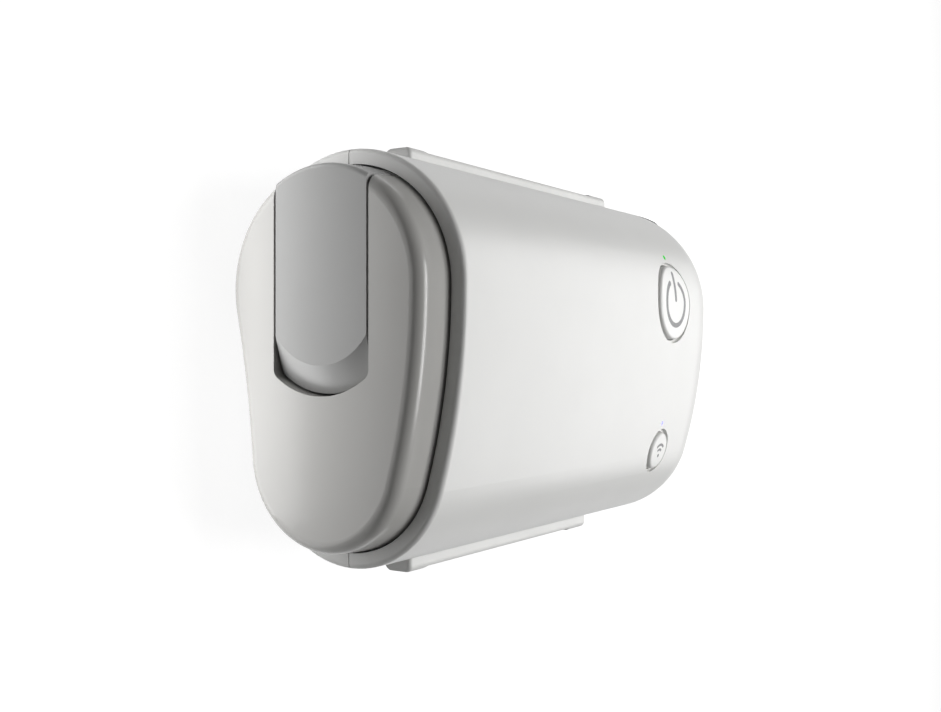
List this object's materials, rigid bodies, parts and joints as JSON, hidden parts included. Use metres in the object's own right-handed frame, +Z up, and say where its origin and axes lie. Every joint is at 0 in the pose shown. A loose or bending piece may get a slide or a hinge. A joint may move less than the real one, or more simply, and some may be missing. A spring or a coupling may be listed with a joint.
{
  "type": "compact travel cpap machine",
  "caption": "Compact travel CPAP blower with a lobed twin-shell housing, hinged filter cover, two push buttons, docking rails, air outlet and DC inlet.",
  "frame": {"origin": "centre of the bounding box, on the surface that the feet stand on", "axes": "+X from the capped filter end to the air outlet, +Y towards the thick side with the power button, +Z up out of the button face"},
  "size_m": [0.136, 0.084, 0.0529],
  "materials": {
    "shell_plastic": "satin moulded",
    "cap_plastic": "fine matte moulded",
    "cover_plastic": "fine matte moulded",
    "rail_plastic": "satin moulded",
    "button_plastic": "satin moulded",
    "power_light": "clear green",
    "wireless_light": "clear blue",
    "seal_silicone": "moulded silicone",
    "foot_rubber": "moulded rubber",
    "filter_fibre": "pressed fibre pad",
    "muffler_foam": "open cell foam",
    "collar_plastic": "satin moulded",
    "blower_plastic": "moulded",
    "impeller_plastic": "moulded",
    "motor_metal": "turned",
    "core_steel": "laminated",
    "winding_copper": "enamelled wire",
    "magnet": "plated",
    "shaft_steel": "ground",
    "screw_steel": "plated",
    "board_laminate": "solder mask",
    "chip_epoxy": "moulded",
    "radio_can": "stamped",
    "led_epoxy": "clear",
    "switch_plastic": "moulded",
    "capacitor_sleeve": "shrink sleeve",
    "inlet_plastic": "moulded",
    "contact_plating": "plated"
  },
  "bodies": {
    "case": {"top_shell": "shell_plastic", "bottom_shell": "shell_plastic", "end_cap": "cap_plastic", "side_rail_left": "rail_plastic", "side_rail_right": "rail_plastic", "power_light_guide": "power_light", "wireless_light_guide": "wireless_light", "cap_gasket": "seal_silicone", "outlet_seal": "seal_silicone", "blower_mounts": "seal_silicone", "outlet_duct": "seal_silicone", "feet": "foot_rubber", "muffler_foam": "muffler_foam", "outlet_collar": "collar_plastic", "blower_housing": "blower_plastic", "inlet_bell": "blower_plastic", "motor_cup": "motor_metal", "motor_cap": "motor_metal", "stator_core": "core_steel", "stator_windings": "winding_copper", "shaft_bearings": "shaft_steel", "case_screws": "screw_steel", "board_screws": "screw_steel", "main_board": "board_laminate", "board_chips": "chip_epoxy", "flow_sensor": "chip_epoxy", "wireless_module": "radio_can", "status_leds": "led_epoxy", "tact_switches": "switch_plastic", "capacitors": "capacitor_sleeve", "dc_inlet": "inlet_plastic", "dc_contacts": "contact_plating"},
    "filter_cover": {"filter_cover": "cover_plastic", "air_filter": "filter_fibre"},
    "power_button": {"power_button": "button_plastic", "power_switch_plunger": "switch_plastic"},
    "wireless_button": {"wireless_button": "button_plastic", "wireless_switch_plunger": "switch_plastic"},
    "rotor": {"impeller": "impeller_plastic", "motor_shaft": "shaft_steel", "rotor_magnet": "magnet"}
  },
  "joints": [
    {"name": "filter_cover_hinge", "type": "hinge", "parent": "case", "child": "filter_cover", "pos_m": [-0.0633, 0.0311, 0.0264], "axis": [0, 0, -1], "range_deg": [0, 80]},
    {"name": "power_button_press", "type": "slide", "parent": "case", "child": "power_button", "axis": [0, 0, -1], "range_m": [0, 0.0005], "stiffness_N_per_m": 1500},
    {"name": "wireless_button_press", "type": "slide", "parent": "case", "child": "wireless_button", "axis": [0, 0, -1], "range_m": [0, 0.0005], "stiffness_N_per_m": 1500},
    {"name": "rotor_spin", "type": "hinge", "parent": "case", "child": "rotor", "pos_m": [-0.0192, 0.0133, 0.021], "axis": [1, 0, 0], "continuous": true}
  ]
}
